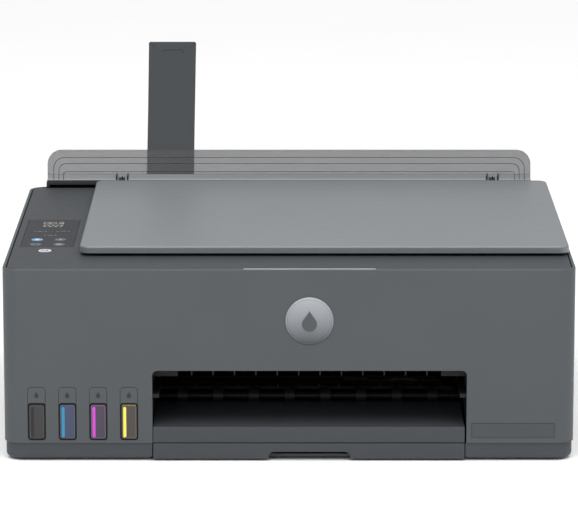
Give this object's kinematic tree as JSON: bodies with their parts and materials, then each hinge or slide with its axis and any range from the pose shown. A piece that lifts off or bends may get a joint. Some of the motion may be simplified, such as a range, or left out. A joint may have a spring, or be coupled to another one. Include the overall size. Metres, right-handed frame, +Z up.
{
  "type": "inkjet printer",
  "caption": "Desktop inkjet printer and scanner with refillable ink tanks, a flatbed lid, a front output slot and a rear paper support.",
  "frame": {"origin": "on the surface the printer stands on, under the middle of its whole box with the paper support pulled out", "axes": "+Z up, -Y towards the user (the front with the output slot), +X to the user's right"},
  "size_m": [0.4348, 0.4434, 0.2565],
  "materials": {
    "casing_grey": "fine moulded texture, satin",
    "base_grey": "fine moulded texture, matt",
    "top_grey": "fine moulded texture, satin",
    "panel_dark": "smooth, slightly glossy",
    "lid_silver": "painted silver grey, satin",
    "inner_black": "black moulded plastic, matt",
    "rear_black": "black moulded plastic, matt",
    "frame_black": "black, glossy",
    "badge_silver": "satin chromed plastic",
    "flap_smoke": "translucent smoked grey",
    "arm_grey": "dark grey, matt",
    "tray_grey": "dark grey, satin",
    "ink_black": "tinted tank, black ink",
    "ink_cyan": "tinted tank, cyan ink",
    "ink_magenta": "tinted tank, magenta ink",
    "ink_yellow": "tinted tank, yellow ink",
    "tube_clear": "thin tubes with ink",
    "steel": "bright steel",
    "rubber_black": "soft black rubber",
    "glass_clear": "clear float glass",
    "pad_white": "white foam pad, matt",
    "board_green": "green solder mask",
    "button_grey": "smooth, satin",
    "button_blue": "lit blue",
    "button_white": "lit white",
    "latch_blue": "blue touch point",
    "gear_natural": "natural acetal",
    "motor_metal": "zinc plated can"
  },
  "bodies": {
    "printer_body": {"base_chassis": "base_grey", "outer_casing": "casing_grey", "rear_housing": "rear_black", "rear_sockets": "inner_black", "rubber_feet": "rubber_black", "casing_screws": "steel", "window_frames": "frame_black", "round_badge": "badge_silver", "output_bay": "inner_black", "output_tray": "tray_grey", "platen": "inner_black", "rail_frame": "steel", "carriage_rod": "steel", "carriage_belt": "rubber_black", "carriage_motor": "motor_metal", "feed_motor": "motor_metal", "feed_belt": "rubber_black", "service_station": "inner_black", "tank_black": "ink_black", "tank_cyan": "ink_cyan", "tank_magenta": "ink_magenta", "tank_yellow": "ink_yellow", "ink_tubes": "tube_clear", "main_board": "board_green", "power_supply": "board_green", "input_chute": "inner_black"},
    "hatch": {"scanner_tub": "inner_black", "top_plate": "top_grey", "platen_glass": "glass_clear", "control_board": "board_green", "control_panel": "panel_dark", "lid_hinges": "steel"},
    "lid": {"lid_cover": "lid_silver", "lid_pad": "pad_white"},
    "power_key": {"power_button": "button_white"},
    "wireless_key": {"wireless_button": "button_blue"},
    "info_key": {"info_button": "button_grey"},
    "cancel_key": {"cancel_button": "button_grey"},
    "resume_key": {"resume_button": "button_grey"},
    "scan_head": {"scan_bar": "inner_black"},
    "input_flap": {"input_cover": "flap_smoke"},
    "support": {"paper_support": "arm_grey"},
    "left_guide": {"guide_left": "inner_black"},
    "right_guide": {"guide_right": "inner_black"},
    "guide_gear": {"guide_pinion": "gear_natural"},
    "extender": {"tray_extender": "tray_grey"},
    "stop_flap": {"paper_stop": "tray_grey"},
    "print_carriage": {"carriage": "inner_black", "printheads": "panel_dark"},
    "latch": {"head_latch": "latch_blue"},
    "drive_pulley": {"motor_pulley": "gear_natural"},
    "far_pulley": {"idler_pulley": "gear_natural"},
    "feed_shaft": {"feed_roller": "steel"},
    "exit_shaft": {"exit_roller": "steel"},
    "feed_motor_pulley": {"feed_pulley": "gear_natural"},
    "pick_shaft": {"pick_roller": "rubber_black"},
    "black_cap": {"cap_black": "ink_black"},
    "cyan_cap": {"cap_cyan": "ink_cyan"},
    "magenta_cap": {"cap_magenta": "ink_magenta"},
    "yellow_cap": {"cap_yellow": "ink_yellow"}
  },
  "joints": [
    {"name": "hatch_hinge", "type": "hinge", "parent": "printer_body", "child": "hatch", "pos_m": [0, 0.10369, 0.143], "axis": [-1, 0, 0], "range_deg": [0, 35]},
    {"name": "lid_hinge", "type": "hinge", "parent": "hatch", "child": "lid", "pos_m": [0.02718, 0.09989, 0.1537], "axis": [1, 0, 0], "range_deg": [-80, 0]},
    {"name": "input_cover_hinge", "type": "hinge", "parent": "printer_body", "child": "input_flap", "pos_m": [0, 0.11411, 0.1552], "axis": [1, 0, 0], "range_deg": [-80, 0]},
    {"name": "paper_support_slide", "type": "slide", "parent": "printer_body", "child": "support", "axis": [0, -0.6157, -0.788], "range_m": [0, 0.1256]},
    {"name": "tray_extender_slide", "type": "slide", "parent": "printer_body", "child": "extender", "axis": [0, -1, 0], "range_m": [0, 0.15]},
    {"name": "paper_stop_hinge", "type": "hinge", "parent": "extender", "child": "stop_flap", "pos_m": [0.0155, -0.21331, 0.0092], "axis": [1, 0, 0], "range_deg": [0, 95]},
    {"name": "guide_left_slide", "type": "slide", "parent": "printer_body", "child": "left_guide", "axis": [1, 0, 0], "range_m": [0, 0.057]},
    {"name": "guide_right_slide", "type": "slide", "parent": "printer_body", "child": "right_guide", "axis": [-1, 0, 0], "range_m": [0, 0.057]},
    {"name": "guide_pinion_spin", "type": "hinge", "parent": "printer_body", "child": "guide_gear", "pos_m": [0.0155, 0.10089, 0.11032], "axis": [0, 0.788, -0.6157], "range_deg": [0, 410]},
    {"name": "carriage_slide", "type": "slide", "parent": "printer_body", "child": "print_carriage", "axis": [-1, 0, 0], "range_m": [0, 0.25]},
    {"name": "head_latch_hinge", "type": "hinge", "parent": "print_carriage", "child": "latch", "pos_m": [0.16795, -0.08731, 0.0876], "axis": [-1, 0, 0], "range_deg": [0, 55]},
    {"name": "motor_pulley_spin", "type": "hinge", "parent": "printer_body", "child": "drive_pulley", "pos_m": [-0.108, -0.04581, 0.08], "axis": [0, 1, 0], "range_deg": [0, 2170]},
    {"name": "idler_pulley_spin", "type": "hinge", "parent": "printer_body", "child": "far_pulley", "pos_m": [0.19595, -0.04581, 0.08], "axis": [0, 1, 0], "range_deg": [0, 2170]},
    {"name": "feed_roller_spin", "type": "hinge", "parent": "printer_body", "child": "feed_shaft", "pos_m": [0.0155, -0.03531, 0.027], "axis": [1, 0, 0], "continuous": true},
    {"name": "exit_roller_spin", "type": "hinge", "parent": "printer_body", "child": "exit_shaft", "pos_m": [0.0155, -0.12831, 0.0285], "axis": [1, 0, 0], "continuous": true},
    {"name": "feed_pulley_spin", "type": "hinge", "parent": "printer_body", "child": "feed_motor_pulley", "pos_m": [-0.127, -0.07131, 0.066], "axis": [1, 0, 0], "continuous": true},
    {"name": "pick_roller_spin", "type": "hinge", "parent": "printer_body", "child": "pick_shaft", "pos_m": [0.0155, 0.04278, 0.06436], "axis": [-1, 0, 0], "continuous": true},
    {"name": "scan_bar_slide", "type": "slide", "parent": "hatch", "child": "scan_head", "axis": [1, 0, 0], "range_m": [0, 0.3]},
    {"name": "black_cap_hinge", "type": "hinge", "parent": "printer_body", "child": "black_cap", "pos_m": [-0.192, -0.15051, 0.091], "axis": [-1, 0, 0], "range_deg": [0, 110]},
    {"name": "cyan_cap_hinge", "type": "hinge", "parent": "printer_body", "child": "cyan_cap", "pos_m": [-0.16857, -0.15051, 0.091], "axis": [-1, 0, 0], "range_deg": [0, 110]},
    {"name": "magenta_cap_hinge", "type": "hinge", "parent": "printer_body", "child": "magenta_cap", "pos_m": [-0.14514, -0.15051, 0.091], "axis": [-1, 0, 0], "range_deg": [0, 110]},
    {"name": "yellow_cap_hinge", "type": "hinge", "parent": "printer_body", "child": "yellow_cap", "pos_m": [-0.12171, -0.15051, 0.091], "axis": [-1, 0, 0], "range_deg": [0, 110]},
    {"name": "power_button_press", "type": "slide", "parent": "hatch", "child": "power_key", "axis": [0, 0, -1], "range_m": [0, 0.0006], "stiffness_N_per_m": 600, "springref_m": -0.0005},
    {"name": "wireless_button_press", "type": "slide", "parent": "hatch", "child": "wireless_key", "axis": [0, 0, -1], "range_m": [0, 0.0006], "stiffness_N_per_m": 600, "springref_m": -0.0005},
    {"name": "info_button_press", "type": "slide", "parent": "hatch", "child": "info_key", "axis": [0, 0, -1], "range_m": [0, 0.0006], "stiffness_N_per_m": 600, "springref_m": -0.0005},
    {"name": "cancel_button_press", "type": "slide", "parent": "hatch", "child": "cancel_key", "axis": [0, 0, -1], "range_m": [0, 0.0006], "stiffness_N_per_m": 600, "springref_m": -0.0005},
    {"name": "resume_button_press", "type": "slide", "parent": "hatch", "child": "resume_key", "axis": [0, 0, -1], "range_m": [0, 0.0006], "stiffness_N_per_m": 600, "springref_m": -0.0005}
  ],
  "couplings": [
    {"joint": "guide_right_slide", "follows": "guide_left_slide", "ratio": 1},
    {"joint": "guide_pinion_spin", "follows": "guide_left_slide", "rad_per_m": 125},
    {"joint": "motor_pulley_spin", "follows": "carriage_slide", "rad_per_m": 150},
    {"joint": "idler_pulley_spin", "follows": "carriage_slide", "rad_per_m": 150},
    {"joint": "exit_roller_spin", "follows": "feed_roller_spin", "ratio": 1.2308},
    {"joint": "feed_pulley_spin", "follows": "feed_roller_spin", "ratio": 2.8}
  ]
}
